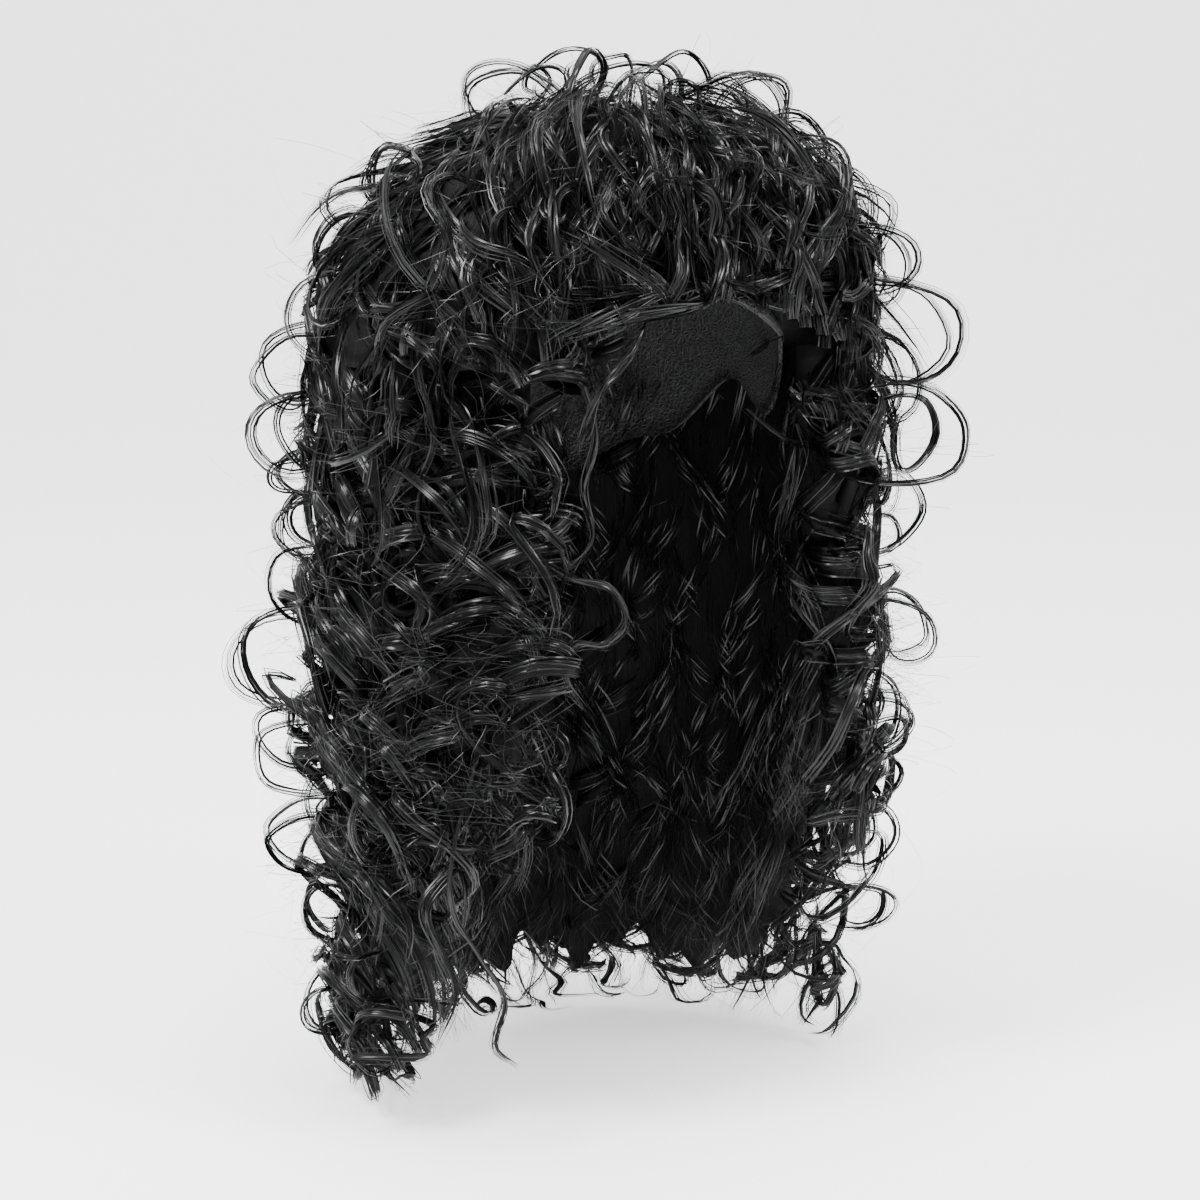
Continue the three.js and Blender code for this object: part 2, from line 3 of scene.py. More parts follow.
import bpy
import numpy as np
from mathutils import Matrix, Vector


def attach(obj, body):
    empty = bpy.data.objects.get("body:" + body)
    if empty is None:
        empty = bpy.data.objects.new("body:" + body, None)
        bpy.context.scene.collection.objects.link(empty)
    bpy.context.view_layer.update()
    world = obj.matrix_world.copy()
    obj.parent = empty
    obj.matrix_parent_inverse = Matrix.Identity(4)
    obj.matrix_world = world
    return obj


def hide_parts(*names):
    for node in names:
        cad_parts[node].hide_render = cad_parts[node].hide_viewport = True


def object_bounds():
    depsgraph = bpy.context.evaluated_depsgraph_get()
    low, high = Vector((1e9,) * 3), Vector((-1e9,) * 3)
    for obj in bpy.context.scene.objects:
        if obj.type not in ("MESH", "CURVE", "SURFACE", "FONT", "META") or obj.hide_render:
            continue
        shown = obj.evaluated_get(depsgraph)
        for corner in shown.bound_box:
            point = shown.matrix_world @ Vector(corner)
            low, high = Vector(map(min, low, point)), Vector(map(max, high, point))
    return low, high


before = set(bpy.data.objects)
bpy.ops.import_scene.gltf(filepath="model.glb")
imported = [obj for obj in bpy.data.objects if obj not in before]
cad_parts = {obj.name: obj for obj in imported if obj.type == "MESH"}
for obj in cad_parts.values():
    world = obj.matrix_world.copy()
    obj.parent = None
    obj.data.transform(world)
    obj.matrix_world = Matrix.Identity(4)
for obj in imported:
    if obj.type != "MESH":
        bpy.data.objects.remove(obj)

CAD_BOX = [list(corner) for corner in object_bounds()]

# Sizes are in millimetres in the frame of the CAD model: +Z up, the face looks along -Y, +X is the wearer's
# left. "Around" is the angle from the face in degrees, positive to the wearer's left. Meshes are in metres.
MM = 0.001
HALF_WIDTH = 150.0
DROP = 446.0
LIFT = 44.0
CROWN_HEIGHT = 105.0
FOOT = 90.0            # level below the crown where the crown hair is widest
SQUARENESS = 2.0       # 2 is an ellipse; the dome is fuller by BACK_FULLER at the back
BACK_FULLER = 0.4
FORWARD = 16.0         # how far the top of the crown leans towards the face
FIRST_AROUND = 47.0    # the hair begins here beside the face
CURL_DEPTH = 21.0
FLOOR = -DROP - 10.0
CAP_HALF = (78.0, 98.0, 105.0)
CAP_WALL = 1.6
CAP_FIT = 0.1
# Rim of the cap: its level as shares of the crown height, and the band sewn round it.
RIM_AROUND = (0, 50, 78, 100, 135, 180)
RIM_DOWN = (0.46, 0.70, 1.12, 0.98, 1.30, 1.55)
BAND_HALF_HEIGHT = 3.4
BAND_HALF_THICK = 0.9

# Plan outline as shares of the half width, and how wide the body is at each share of the drop.
PLAN_AROUND = (0, 25, 48, 73, 94, 116, 137, 157, 180)
PLAN_OUT = (0.70, 0.74, 0.88, 0.96, 1.0, 1.03, 1.01, 0.96, 0.93)
BODY_DOWN = (0.14, 0.27, 0.5, 0.74, 1.0)
BODY_WIDE = (0.98, 1.0, 1.05, 1.0, 0.96)
# Hairline: level of the crown hair's lower edge, as shares of the crown height.
EDGE_AROUND = (0, 25, 45, 65, 180)
EDGE_DOWN = (0.40, 0.46, 0.70, 0.80, 0.80)

GROUPS = (
    "curls_right_front", "curls_right_side", "curls_right_back", "curls_back",
    "curls_left_back", "curls_left_side", "curls_left_front",
)
# How far down each group's curls reach, from its first curl to its last, as shares of the drop.
GROUP_TIPS = ((0.66, 0.80), (0.95, 0.985), (0.98, 0.985), (0.985, 0.98), (0.98, 0.985), (0.985, 0.99), (0.84, 0.66))


def wrapped(around):
    return (np.asarray(around, float) + 180.0) % 360.0 - 180.0


def plan(around):
    return HALF_WIDTH * np.interp(np.abs(wrapped(around)), PLAN_AROUND, PLAN_OUT)


def body_radius(around, z):
    return plan(around) * np.interp(-np.asarray(z) / DROP, BODY_DOWN, BODY_WIDE)


def hairline(around):
    return -CROWN_HEIGHT * np.interp(np.abs(wrapped(around)), EDGE_AROUND, EDGE_DOWN)


def polar(around, radius, z):
    a = np.radians(around)
    around, radius, z = np.broadcast_arrays(a, radius, z)
    return np.stack([radius * np.sin(around), -radius * np.cos(around), z], -1)


def unit(v):
    return v / np.maximum(np.linalg.norm(v, axis=-1, keepdims=True), 1e-9)


LEVEL_PER_DEGREE = 2.0


def surface(around, lean, stand):
    """Point of the hair's outside. Lean runs from 0 at the top to 90 at the dome's foot, and on down."""
    span = FOOT + LIFT
    c = np.cos(np.radians(np.clip(lean, 0, 90)))
    s = np.sin(np.radians(np.clip(lean, 0, 90)))
    back = ((1 - np.cos(np.radians(around))) / 2) ** 2
    square = SQUARENESS + BACK_FULLER * back
    z = -FOOT + span * c ** (2 / square) - np.maximum(lean - 90, 0) * LEVEL_PER_DEGREE
    wide = np.interp(-z / DROP, BODY_DOWN, BODY_WIDE)
    r = plan(around) * s ** (2 / square) * np.where(lean > 90, wide, 1.0)
    level = np.clip((90 - lean) / 60, 0, 1)
    out = unit(np.stack([np.sin(np.radians(around)), -np.cos(np.radians(around)), level], -1))
    reach = 90 - 60 * back
    ahead = np.array([0.0, -FORWARD, 0.0]) * np.clip(1 - lean / reach, 0, 1)[..., None]
    return polar(around, r, z) + ahead + out * np.asarray(stand)[..., None], out


def lean_at(z):
    """The lean at which the dome has a level."""
    rise = np.clip((np.asarray(z) + FOOT) / (FOOT + LIFT), 0, 1)
    return np.degrees(np.arccos(rise ** (SQUARENESS / 2)))


# The visual model stays inside the CAD model's box and the little that hair may stand proud of it.
PROUD = 15.0
LOW = np.array(CAD_BOX[0]) / MM - PROUD
HIGH = np.array(CAD_BOX[1]) / MM + PROUD
LOW[2] = -DROP - 4.0


def kept_inside(points):
    soft = 8.0
    low, high = LOW + soft, HIGH - soft
    over = np.maximum(points - high, 0)
    under = np.maximum(low - points, 0)
    return np.clip(points, low, high) + soft * np.tanh(over / soft) - soft * np.tanh(under / soft)


class Hair:
    """Collects strips and closed locks of hair, and makes them one mesh."""

    def __init__(self):
        self.verts, self.faces, self.uvs, self.tones, self.kinds = [], [], [], [], []
        self.count = 0

    def _add(self, verts, quads, uv, tone, kind):
        self.verts.append(verts.reshape(-1, 3))
        self.faces.append(quads.reshape(-1, 4) + self.count)
        self.uvs.append(uv.reshape(-1, 2))
        self.tones.append(tone.reshape(-1))
        self.kinds.append(np.full(len(self.faces[-1]), kind))
        self.count += len(self.verts[-1])

    def strips(self, points, out, half, rng):
        """Flat strands: points and out are (n, k, 3), half is the half width (n, k)."""
        points = kept_inside(points)
        n, k, _ = points.shape
        along = unit(np.gradient(points, axis=1))
        side = unit(np.cross(along, out))
        v = np.cumsum(np.linalg.norm(np.diff(points, axis=1, prepend=points[:, :1]), axis=-1), axis=1)
        verts = np.stack([points - side * half[..., None], points + side * half[..., None]], 2)
        shift = rng.uniform(0, 100, (n, 1))
        u = np.stack([shift - half, shift + half], -1)
        uv = np.stack([u, np.repeat(v[..., None], 2, -1)], -1)
        base = (np.arange(n)[:, None] * k + np.arange(k - 1)) * 2
        quads = np.stack([base, base + 1, base + 3, base + 2], -1)
        tone = np.broadcast_to(rng.uniform(0, 1, (n, 1, 1)), (n, k, 2))
        self._add(verts, quads, uv, tone, 0)

    def locks(self, points, out, wide, thick, rng, sides=5):
        """Closed locks of oval section: wide and thick are half sizes (n, k)."""
        points = kept_inside(points)
        n, k, _ = points.shape
        along = unit(np.gradient(points, axis=1))
        side = unit(np.cross(along, out))
        lift = unit(np.cross(side, along))
        angle = np.arange(sides) / sides * 2 * np.pi
        ring = (points[:, :, None] + side[:, :, None] * (wide[..., None] * np.cos(angle))[..., None]
                + lift[:, :, None] * (thick[..., None] * np.sin(angle))[..., None])
        v = np.cumsum(np.linalg.norm(np.diff(points, axis=1, prepend=points[:, :1]), axis=-1), axis=1)
        u = rng.uniform(0, 100, (n, 1, 1)) + wide.max() * np.cos(angle)[None, None] * np.ones((n, k, 1))
        uv = np.stack([u, np.repeat(v[..., None], sides, -1)], -1)
        start = np.arange(n)[:, None, None] * k * sides + np.arange(k - 1)[None, :, None] * sides
        a = np.arange(sides)[None, None]
        b = (a + 1) % sides
        quads = np.stack([start + a, start + b, start + sides + b, start + sides + a], -1)
        tone = np.broadcast_to(rng.uniform(0, 1, (n, 1, 1)), (n, k, sides))
        self._add(ring, quads, uv, tone, 1)

    def mesh(self, name, materials):
        verts = np.concatenate(self.verts) * MM
        faces = np.concatenate(self.faces)
        uvs = np.concatenate(self.uvs)
        mesh = bpy.data.meshes.new(name)
        mesh.vertices.add(len(verts))
        mesh.vertices.foreach_set("co", verts.ravel().astype(np.float32))
        mesh.loops.add(faces.size)
        mesh.loops.foreach_set("vertex_index", faces.ravel().astype(np.int32))
        mesh.polygons.add(len(faces))
        mesh.polygons.foreach_set("loop_start", (np.arange(len(faces)) * 4).astype(np.int32))
        mesh.polygons.foreach_set("material_index", np.concatenate(self.kinds).astype(np.int32))
        layer = mesh.uv_layers.new(name="strand")
        layer.data.foreach_set("uv", (uvs[faces.ravel()] * MM * 10).ravel().astype(np.float32))
        tone = mesh.attributes.new("tone", "FLOAT", "POINT")
        tone.data.foreach_set("value", np.concatenate(self.tones).astype(np.float32))
        mesh.update(calc_edges=True)
        mesh.shade_smooth()
        for material in materials:
            mesh.materials.append(material)
        piece = bpy.data.objects.new(name, mesh)
        bpy.context.scene.collection.objects.link(piece)
        return piece


def new_material(name):
    material = bpy.data.materials.new(name)
    material.use_nodes = True
    nodes = material.node_tree.nodes
    return material, nodes, material.node_tree.links, nodes["Principled BSDF"]


def hair_material(name, roughness, bump, shine):
    """Near-black fibre: strands differ in tone, and fine lines run along each lock."""
    material, nodes, links, shader = new_material(name)
    tone = nodes.new("ShaderNodeAttribute")
    tone.attribute_name = "tone"
    colour = nodes.new("ShaderNodeValToRGB")
    colour.color_ramp.elements[0].color = (0.0012, 0.0012, 0.0013, 1)
    colour.color_ramp.elements[1].color = (0.005, 0.005, 0.0055, 1)
    links.new(tone.outputs["Fac"], colour.inputs["Fac"])
    links.new(colour.outputs["Color"], shader.inputs["Base Color"])
    uv = nodes.new("ShaderNodeUVMap")
    uv.uv_map = "strand"
    stretch = nodes.new("ShaderNodeMapping")
    stretch.inputs["Scale"].default_value = (1.0, 0.02, 1.0)
    lines = nodes.new("ShaderNodeTexNoise")
    lines.inputs["Scale"].default_value = 160.0
    lines.inputs["Detail"].default_value = 2.0
    links.new(uv.outputs["UV"], stretch.inputs["Vector"])
    links.new(stretch.outputs["Vector"], lines.inputs["Vector"])
    relief = nodes.new("ShaderNodeBump")
    relief.inputs["Strength"].default_value = bump
    relief.inputs["Distance"].default_value = 0.0006
    links.new(lines.outputs["Fac"], relief.inputs["Height"])
    links.new(relief.outputs["Normal"], shader.inputs["Normal"])
    rough = nodes.new("ShaderNodeMapRange")
    rough.inputs["To Min"].default_value = roughness - 0.08
    rough.inputs["To Max"].default_value = roughness + 0.1
    links.new(lines.outputs["Fac"], rough.inputs["Value"])
    links.new(rough.outputs["Result"], shader.inputs["Roughness"])
    tangent = nodes.new("ShaderNodeTangent")
    tangent.direction_type = "UV_MAP"
    tangent.uv_map = "strand"
    links.new(tangent.outputs["Tangent"], shader.inputs["Tangent"])
    shader.inputs["Anisotropic"].default_value = 0.75
    shader.inputs["Specular IOR Level"].default_value = shine
    return material


def net_material():
    """Knitted net of the cap: a fine diamond mesh, dull black."""
    material, nodes, links, shader = new_material("cap_net")
    place = nodes.new("ShaderNodeTexCoord")
    cells = nodes.new("ShaderNodeTexVoronoi")
    cells.feature = "DISTANCE_TO_EDGE"
    cells.inputs["Scale"].default_value = 450.0
    links.new(place.outputs["Object"], cells.inputs["Vector"])
    yarn = nodes.new("ShaderNodeMapRange")
    yarn.inputs["From Max"].default_value = 0.25
    links.new(cells.outputs["Distance"], yarn.inputs["Value"])
    colour = nodes.new("ShaderNodeValToRGB")
    colour.color_ramp.elements[0].color = (0.022, 0.022, 0.024, 1)
    colour.color_ramp.elements[1].color = (0.005, 0.005, 0.005, 1)
    links.new(yarn.outputs["Result"], colour.inputs["Fac"])
    links.new(colour.outputs["Color"], shader.inputs["Base Color"])
    relief = nodes.new("ShaderNodeBump")
    relief.invert = True
    relief.inputs["Strength"].default_value = 0.8
    relief.inputs["Distance"].default_value = 0.0008
    links.new(yarn.outputs["Result"], relief.inputs["Height"])
    links.new(relief.outputs["Normal"], shader.inputs["Normal"])
    shader.inputs["Roughness"].default_value = 0.75
    return material


STRAND = hair_material("hair_strand", 0.28, 0.15, 0.27)
# Second copy of the hair material with far less sheen: painted shade, so the lock cores and the inner hair read as
# shadow under the strands.
LOCK_AND_SHADE = hair_material("hair_lock_and_shade", 0.5, 1.0, 0.08)
NET = net_material()


def wander(rng, n, k, size, waves=2.0):
    """Smooth random drift along n curves of k points, of about a given size."""
    t = np.linspace(0, 1, k)
    total = np.zeros((n, k))
    for order in (0.5, 1.0, 1.7):
        phase = rng.uniform(0, 2 * np.pi, (n, 1))
        total += np.sin(2 * np.pi * waves * order * t + phase) / (1 + order)
    return total * size


def bundle(hair, rng, path, n_locks, per_lock, width, loose=1.0, core=0.4, flat=0.3, sides=3, thicken=1.0):
    """Locks and strands along a rule path(shift, scale, count) that gives points and outward directions.

    The rule takes, for each of its curves, a small shift of phase (n, 1) and a share of the curl's radius
    (n, 1), and returns arrays of (n, k, 3). Each lock has a closed core and loose strands about it.
    """
    # The cores take the second material, the dimmed lock one: painted shade under the strands.
    if core:
        one = np.ones((n_locks, 1))
        points, out = path(0 * one, one, n_locks)
        t = np.linspace(0, 1, points.shape[1])
        body = np.minimum(1, t / 0.08) * np.minimum(1, (1 - t) / 0.3 + 0.04)
        wide = width * body * (1 + 0.25 * wander(rng, n_locks, len(t), 1.0)) * core
        hair.locks(points, out, wide, wide * flat, rng, sides)
    n = n_locks * per_lock
    shift = rng.normal(0, 1, (n, 1))
    scale = 1 + np.clip(rng.normal(0, 0.07 * loose, (n, 1)), -0.3, 0.16) + 0.02
    points, out = path(shift, scale, n)
    t = np.linspace(0, 1, points.shape[1])
    along = unit(np.gradient(points, axis=1))
    side = unit(np.cross(along, out))
    spread = 0.7 + 0.5 * t ** 2 * loose
    across = width * (rng.uniform(-1.0, 1.0, (n, 1)) * spread + wander(rng, n, len(t), 0.22 * loose))
    lift = width * (flat + 0.22 * rng.normal(0, 1, (n, 1)) * spread + wander(rng, n, len(t), 0.12 * loose))
    points = points + side * across[..., None] + out * lift[..., None]
    roll = (rng.normal(0, 0.35, (n, 1, 1)) + wander(rng, n, len(t), 0.3)[..., None]) * (0.5 + 0.5 * loose)
    facing = unit(out * np.cos(roll) + side * np.sin(roll))
    fine = rng.random((n, 1)) < 0.45
    thin = np.where(fine, rng.uniform(0.11, 0.2, (n, 1)), rng.uniform(0.24, 0.46, (n, 1)))
    half = thin * thicken * np.minimum(1, (1 - t) / rng.uniform(0.12, 0.6, (n, 1)) + 0.06)
    hair.strips(points, facing, half, rng)


def ringlet_rule(rng, around, inset, top, tip, radius, pitch, phase, hand, per_turn=10, tilt=(0.0, 0.5)):
    """Rule for a set of curls hanging side by side. All arguments are arrays of n; tilt is the range, in
    radians, by which the turns lean from level to upright."""
    n = len(around)
    k = int(np.ceil(np.max((top - tip) / pitch) * per_turn)) + 1
    t = np.linspace(0, 1, k)[None]
    wob_r = 1 + wander(rng, n, k, 0.2, 2.3)
    wob_a = wander(rng, n, k, 2.2, 1.3)
    wob_i = wander(rng, n, k, 3.5, 1.6)
    wob_p = wander(rng, n, k, 0.55, 2.0)
    lean = rng.uniform(*tilt, (n, 1)) + wander(rng, n, k, 0.25, 1.4)

    def rule(shift, scale, count):
        pick = np.repeat(np.arange(n), count // n)
        z = top[pick, None] + (tip - top)[pick, None] * t
        open_up = radius[pick, None] * wob_r[pick] * np.minimum(1, 0.35 + t / 0.1) * (1 - 0.25 * t ** 5)
        open_up = open_up * (1 + (scale - 1) * (0.5 + 0.8 * t))
        turns = (top - tip)[pick, None] / pitch[pick, None] * t
        angle = phase[pick, None] + hand[pick, None] * (2 * np.pi * turns + wob_p[pick]) + 0.13 * shift * (0.4 + t)
        a = around[pick, None] + wob_a[pick]
        r = body_radius(a, z) - inset[pick, None] + wob_i[pick]
        u = polar(a, 1.0, 0 * z) * np.cos(lean[pick])[..., None]
        u[..., 2] = np.sin(lean[pick])
        v = polar(a + 90, 1.0, 0 * z)
        out = np.cos(angle)[..., None] * u + np.sin(angle)[..., None] * v
        return polar(a, r, z) + out * open_up[..., None], out

    return rule


def curve_share():
    """Arc length round the line that the curls hang on, to share the groups out evenly."""
    around = np.linspace(-FIRST_AROUND, -360 + FIRST_AROUND, 721)
    line = polar(around, plan(around) - CURL_DEPTH, 0.0)
    length = np.concatenate([[0], np.cumsum(np.linalg.norm(np.diff(line, axis=0), axis=1))])
    return around, length / length[-1]


LINE_AROUND, LINE_SHARE = curve_share()


def around_at(share):
    return np.interp(share, LINE_SHARE, LINE_AROUND)


def lowest(around):
    """Level of the hair's tips."""
    from_left = 360.0 - np.asarray(around, float) % 360.0
    share = np.interp(from_left, -LINE_AROUND, LINE_SHARE)
    places = [(i + end) / len(GROUPS) for i in range(len(GROUPS)) for end in (0.001, 0.999)]
    return -DROP * np.interp(share, places, np.ravel(GROUP_TIPS))


def finish_piece(piece, *nodes, slot="hair"):
    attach(piece, "root")
    if nodes:
        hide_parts(*nodes)


OUTER_RINGLETS = 4
LOCKS_PER_RINGLET = 3
INNER_RINGLETS = 4
SHORT_CURLS = 33
INNER_WAVES = 11


def curl_group(index):
    """A group of hanging curls: outer ringlets, an inner row, loose C-shaped curls and the inside's waves."""
    rng = np.random.default_rng(100 + index)
    hair = Hair()
    first, last = index / len(GROUPS), (index + 1) / len(GROUPS)
    tips = GROUP_TIPS[index]

    def places(share):
        return around_at(first + (last - first) * share), -DROP * np.interp(share, (0, 1), tips)

    def pick_hand(n):
        return rng.choice([-1.0, 1.0], n)

    count = OUTER_RINGLETS
    around, tip = places((np.arange(count) + 0.5) / count)
    rep = np.repeat(np.arange(count), LOCKS_PER_RINGLET)
    n = len(rep)
    radius = rng.uniform(15, 23, count)[rep] * rng.uniform(0.8, 1.1, n)
    inset = np.where(np.arange(count) % 2, 24.0, 30.0)[rep]
    top = rng.uniform(-60, -40, count)[rep]
    fan = np.tile(np.arange(LOCKS_PER_RINGLET) * 0.5, count) + rng.uniform(-0.15, 0.15, n)
    rule = ringlet_rule(rng, around[rep] + rng.normal(0, 1.5, n), inset, top, tip[rep] + rng.uniform(0, 26, n),
                        radius, rng.uniform(54, 74, count)[rep], rng.uniform(0, 6.28, count)[rep] + fan,
                        pick_hand(count)[rep], 12, (0.5, 1.3))
    bundle(hair, rng, rule, n, 13, 4.4, loose=0.7, core=0.85, flat=0.16, sides=4)

    around, tip = places((np.arange(INNER_RINGLETS) + 0.4) / INNER_RINGLETS)
    n = INNER_RINGLETS
    rule = ringlet_rule(rng, around, np.full(n, 38.0), np.full(n, -62.0), tip + 14, rng.uniform(12, 17, n),
                        rng.uniform(56, 66, n), rng.uniform(0, 6.28, n), pick_hand(n), 8, (0.0, 0.6))
    bundle(hair, rng, rule, n, 5, 8.0)

    n = SHORT_CURLS
    around, lowest = places(rng.uniform(0.0, 1.0, n))
    top = np.where(np.arange(n) % 3, -38 + (lowest + 80) * rng.random(n), lowest + rng.uniform(36, 64, n))
    tip = np.maximum(top - rng.uniform(40, 95, n), lowest - 8)
    rule = ringlet_rule(rng, around, rng.uniform(11, 25, n), top, tip, rng.uniform(11, 24, n),
                        rng.uniform(36, 62, n), rng.uniform(0, 6.28, n), pick_hand(n), 13, (0.5, 1.5))
    bundle(hair, rng, rule, n, 13, 3.4, loose=0.8, core=0.6, flat=0.16, sides=4)

    n = INNER_WAVES
    around, tip = places((np.arange(n) + rng.uniform(0.1, 0.9, n)) / n)
    depth = body_radius(around, -200.0) - 96
    rule = ringlet_rule(rng, around, depth, rng.uniform(-125, -95, n), tip + 6, rng.uniform(3, 8, n),
                        rng.uniform(70, 100, n), rng.uniform(0, 6.28, n), pick_hand(n), 8, (0.0, 0.9))
    bundle(hair, rng, rule, n, 10, 9.0, core=0)
    return hair


def crown(part, seed, roots, leans, ends, turns, inset, radius, per_lock, width, k=26, tilt=(0.3, 1.4), loose=1.2):
    """Locks that lie over the dome: they run from root places to end places and curl up towards their ends."""
    rng = np.random.default_rng(seed)
    n = len(roots)
    t = np.linspace(0, 1, k)[None]
    drift = wander(rng, n, k, 4.0, 0.9)
    rise = wander(rng, n, k, 3.5, 1.2)
    phase = rng.uniform(0, 2 * np.pi, n)
    hand = rng.choice([-1.0, 1.0], n)
    stretch = rng.uniform(0.75, 1.3, n)
    lay = rng.uniform(*tilt, (n, 1))

    def rule(shift, scale, count):
        pick = np.repeat(np.arange(n), count // n)
        ease = t * t * (3 - 2 * t)
        around = roots[pick, None] * (1 - ease) + ends[pick, None] * ease + drift[pick]
        lean = leans[pick, 0, None] * (1 - t) + leans[pick, 1, None] * t
        stand = inset[pick, 0, None] * (1 - t) + inset[pick, 1, None] * t + rise[pick]
        point, up = surface(around, lean, stand)
        along = unit(np.gradient(point, axis=1))
        side = unit(np.cross(along, up))
        up = np.cross(side, along)
        up = up * np.cos(lay[pick])[..., None] + along * np.sin(lay[pick])[..., None]
        grow = 0.1 + 0.9 * t ** 1.2
        open_up = radius[pick, None] * stretch[pick, None] * grow * (1 + (scale - 1) * (0.4 + t))
        angle = phase[pick, None] + hand[pick, None] * 2 * np.pi * turns[pick, None] * t ** 1.2 + 0.14 * shift * (0.3 + t)
        out = np.cos(angle)[..., None] * up + np.sin(angle)[..., None] * side
        return point + out * open_up[..., None], out

    bundle(part, rng, rule, n, per_lock, width, loose, core=0.5, flat=0.15, sides=3)


def crown_front(hair):
    """Hair brushed up and back from the hairline, in a fan from its peak."""
    rng = np.random.default_rng(7)
    n = 80
    root = np.linspace(-56, 56, n) + rng.uniform(-1.5, 1.5, n)
    lean0 = lean_at(hairline(root)) + rng.uniform(-2, 3, n)
    end = root * rng.uniform(1.1, 1.9, n) + rng.normal(0, 9, n)
    lean1 = lean0 - rng.uniform(24, 52, n)
    inset = np.stack([rng.uniform(-15, -12, n), rng.uniform(-10, -2, n)], 1)
    crown(hair, 9, root, np.stack([lean0, lean1], 1), end, rng.uniform(0.2, 0.7, n), inset,
          rng.uniform(2, 6, n), 16, 4.6, 16, (0.0, 0.5), 0.7)
    n = 64
    root = rng.uniform(-54, 54, n)
    lean0 = lean_at(hairline(root)) - rng.uniform(0, 12, n)
    end = root * rng.uniform(1.1, 2.2, n) + rng.normal(0, 14, n)
    lean1 = rng.uniform(2, 40, n)
    inset = np.stack([rng.uniform(-13, -8, n), rng.uniform(-4, 6, n)], 1)
    crown(hair, 8, root, np.stack([lean0, lean1], 1), end, rng.uniform(0.4, 1.2, n), inset,
          rng.uniform(4, 11, n), 14, 3.6, loose=0.9)
    n = 20
    side = np.where(np.arange(n) < 12, -1.0, 1.0)
    root = rng.uniform(-4, 6, n) + side * rng.uniform(0, 14, n)
    end = side * rng.uniform(28, 58, n)
    lean0 = lean_at(hairline(root)) - rng.uniform(-2, 5, n)
    lean1 = lean_at(hairline(end)) - rng.uniform(-3, 20, n)
    inset = np.stack([np.full(n, -13.0), rng.uniform(-12, -5, n)], 1)
    crown(hair, 10, root, np.stack([lean0, lean1], 1), end, rng.uniform(0.2, 0.8, n), inset,
          rng.uniform(2, 7, n), 18, 4.0, 18, (0.0, 0.6), 0.7)


def crown_back(hair, seed, n, clear, low, reach, turn, radius, width, inset, per_lock):
    """Hair that falls from the top to the sides and back, and ends over the hanging curls."""
    rng = np.random.default_rng(seed)
    root = 180 + rng.uniform(-1, 1, n) * (180 - clear)
    lean0 = rng.uniform(*low, n)
    lean1 = lean0 + rng.uniform(*reach, n)
    face = np.abs(wrapped(root)) < FIRST_AROUND + 8
    lean1 = np.where(face, np.minimum(lean1, lean_at(hairline(root)) - 25), lean1)
    end = root + rng.normal(0, 16, n)
    stand = np.stack([np.full(n, inset[0]), np.full(n, inset[1])], 1) + rng.normal(0, 3, (n, 2))
    crown(hair, seed + 1, root, np.stack([lean0, lean1], 1), end, rng.uniform(*turn, n), stand,
          rng.uniform(*radius, n), per_lock, width, loose=0.8)


def spline(points, k):
    """Smooth curve through a few points."""
    points = np.array(points, float)
    ends = np.concatenate([[2 * points[0] - points[1]], points, [2 * points[-1] - points[-2]]])
    at = np.linspace(0, len(points) - 1 - 1e-6, k)
    i = at.astype(int)
    t = (at - i)[:, None]
    a, b, c, d = ends[i], ends[i + 1], ends[i + 2], ends[i + 3]
    return 0.5 * (2 * b + (c - a) * t + (2 * a - 5 * b + 4 * c - d) * t ** 2 + (3 * b - a - 3 * c + d) * t ** 3)


# Loops that stand out of the hair, in upright planes: where the plane faces, how far out and at what level the
# loop's middle is, and its radius. The first ones are at the sides that the photograph shows in outline.
SIDE_LEFT, SIDE_RIGHT = 60.0, -120.0
LOOPS = (
    (SIDE_LEFT, 66, 29, 20), (SIDE_LEFT, 90, 8, 16), (SIDE_LEFT, 112, -20, 24), (SIDE_LEFT, 134, -42, 18),
    (SIDE_LEFT, 146, -76, 23), (SIDE_LEFT, 156, -124, 20), (SIDE_LEFT, 150, -222, 11), (84, 160, -286, 10),
    (84, 158, -313, 11), (84, 148, -340, 13), (86, 150, -384, 11), (SIDE_LEFT, 128, -100, 22),
    (SIDE_RIGHT, 157, -90, 17), (SIDE_RIGHT, 156, -123, 17), (SIDE_RIGHT, 158, -147, 10), (SIDE_RIGHT, 150, -172, 14),
    (SIDE_RIGHT, 163, -235, 22), (SIDE_RIGHT, 163, -273, 15), (SIDE_RIGHT, 158, -326, 16), (SIDE_RIGHT, 148, -368, 15),
    (SIDE_RIGHT, 145, -410, 15), (SIDE_RIGHT, 62, 37, 15), (SIDE_RIGHT, 114, 0, 15), (SIDE_RIGHT, 134, -36, 16),
    (SIDE_LEFT, -30, 44, 9), (SIDE_LEFT, -12, 48, 10), (SIDE_LEFT, 6, 46, 11), (SIDE_LEFT, 24, 44, 10),
    (SIDE_LEFT, 40, 38, 13),
)
RANDOM_LOOPS = 62
# Shapes of a loop in its own plane, in shares of its radius: outwards and upwards from the loop's middle.
HOOK = ((-2.6, 0.7), (-1.3, 1.05), (0.0, 1.0), (0.85, 0.5), (0.95, -0.35), (0.3, -0.95), (-0.55, -0.85),
        (-0.9, -0.2), (-0.6, 0.35), (-0.1, 0.45))
ARCH = ((-2.4, 0.3), (-1.5, 0.9), (-0.4, 1.1), (0.6, 0.8), (1.0, 0.05), (0.75, -0.7), (0.0, -1.1), (-0.9, -1.15),
        (-1.8, -0.9), (-2.5, -0.6))


def rounded(points, k):
    """Curve through points, with its corners eased."""
    fine, window = 4, 13
    curve = spline(points, k * fine)
    padded = np.pad(curve, ((window // 2, window // 2), (0, 0)), "edge")
    eased = np.stack([np.convolve(column, np.ones(window) / window, "valid") for column in padded.T], -1)
    return eased[::fine]


